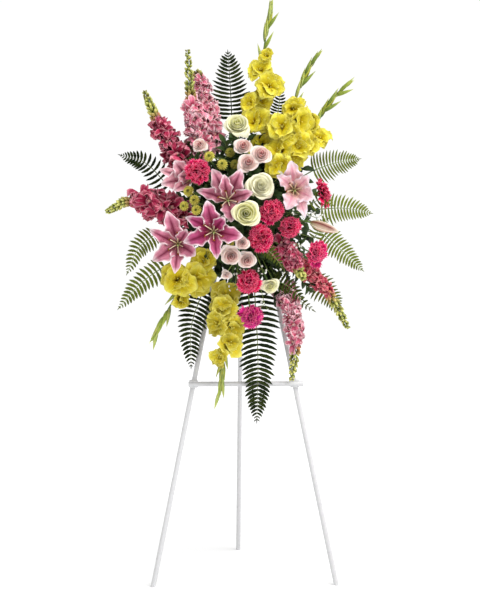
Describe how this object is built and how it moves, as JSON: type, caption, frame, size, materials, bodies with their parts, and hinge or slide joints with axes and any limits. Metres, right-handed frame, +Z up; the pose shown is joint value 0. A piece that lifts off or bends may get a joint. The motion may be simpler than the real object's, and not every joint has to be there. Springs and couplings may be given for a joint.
{
  "type": "standing funeral spray",
  "caption": "Standing spray of lilies, roses, carnations, gladioli, snapdragons and fern in a foam holder on a white folding tripod easel.",
  "frame": {"origin": "middle of the whole object's box, on the floor that the three feet stand on", "axes": "+Z up, the spray faces -Y, +X to the right seen from the front"},
  "size_m": [0.7946, 0.7632, 1.7757],
  "materials": {
    "white_paint": "satin",
    "pin_steel": "satin",
    "tray_plastic": "matte",
    "wet_foam": "matte",
    "lily_petal": "satin",
    "blush_rose_petal": "satin",
    "cream_rose_petal": "satin",
    "carnation_petal": "matte",
    "mum_petal": "matte",
    "gladiolus_petal": "satin",
    "pink_snapdragon": "matte",
    "raspberry_snapdragon": "matte",
    "salmon_snapdragon": "matte",
    "fern_leaf": "satin",
    "dark_leaf": "satin",
    "white_filler": "matte"
  },
  "bodies": {
    "front_frame": {"easel_left_leg": "white_paint", "easel_right_leg": "white_paint", "easel_crossbar": "white_paint", "easel_upper_rung": "white_paint", "easel_head": "white_paint", "hinge_pin": "pin_steel", "foam_tray": "tray_plastic", "lily_1": "lily_petal", "lily_2": "lily_petal", "lily_3": "lily_petal", "lily_4": "lily_petal", "lily_5": "lily_petal", "rose_1": "cream_rose_petal", "rose_2": "cream_rose_petal", "rose_3": "cream_rose_petal", "rose_4": "cream_rose_petal", "carnation_1": "carnation_petal", "carnation_2": "carnation_petal", "carnation_3": "carnation_petal", "carnation_4": "carnation_petal", "carnation_5": "carnation_petal", "carnation_6": "carnation_petal", "carnation_7": "carnation_petal", "carnation_8": "carnation_petal", "spray_rose_1": "blush_rose_petal", "spray_rose_2": "blush_rose_petal", "spray_rose_3": "blush_rose_petal", "button_mum_1": "mum_petal", "button_mum_2": "mum_petal", "button_mum_3": "mum_petal", "lily_bud": "lily_petal", "gladiolus_1": "gladiolus_petal", "gladiolus_2": "gladiolus_petal", "gladiolus_3": "gladiolus_petal", "gladiolus_4": "gladiolus_petal", "gladiolus_5": "gladiolus_petal", "snapdragon_1": "pink_snapdragon", "snapdragon_2": "pink_snapdragon", "snapdragon_3": "raspberry_snapdragon", "snapdragon_4": "raspberry_snapdragon", "snapdragon_5": "salmon_snapdragon", "snapdragon_6": "pink_snapdragon", "snapdragon_7": "raspberry_snapdragon", "fern_1": "fern_leaf", "fern_2": "fern_leaf", "fern_3": "fern_leaf", "fern_4": "fern_leaf", "fern_5": "fern_leaf", "fern_6": "fern_leaf", "fern_7": "fern_leaf", "fern_8": "fern_leaf", "fern_9": "fern_leaf", "fern_10": "fern_leaf", "fern_11": "fern_leaf", "fern_12": "fern_leaf", "leafy_stem_1": "dark_leaf", "leafy_stem_2": "dark_leaf", "white_filler_stem": "white_filler", "foam_block": "wet_foam"},
    "back_leg": {"easel_back_leg": "white_paint"}
  },
  "joints": [
    {"name": "back_leg_fold", "type": "hinge", "parent": "front_frame", "child": "back_leg", "pos_m": [0.01268, 0.0399, 1.325], "axis": [-1, 0, 0], "range_deg": [0, 20]}
  ]
}
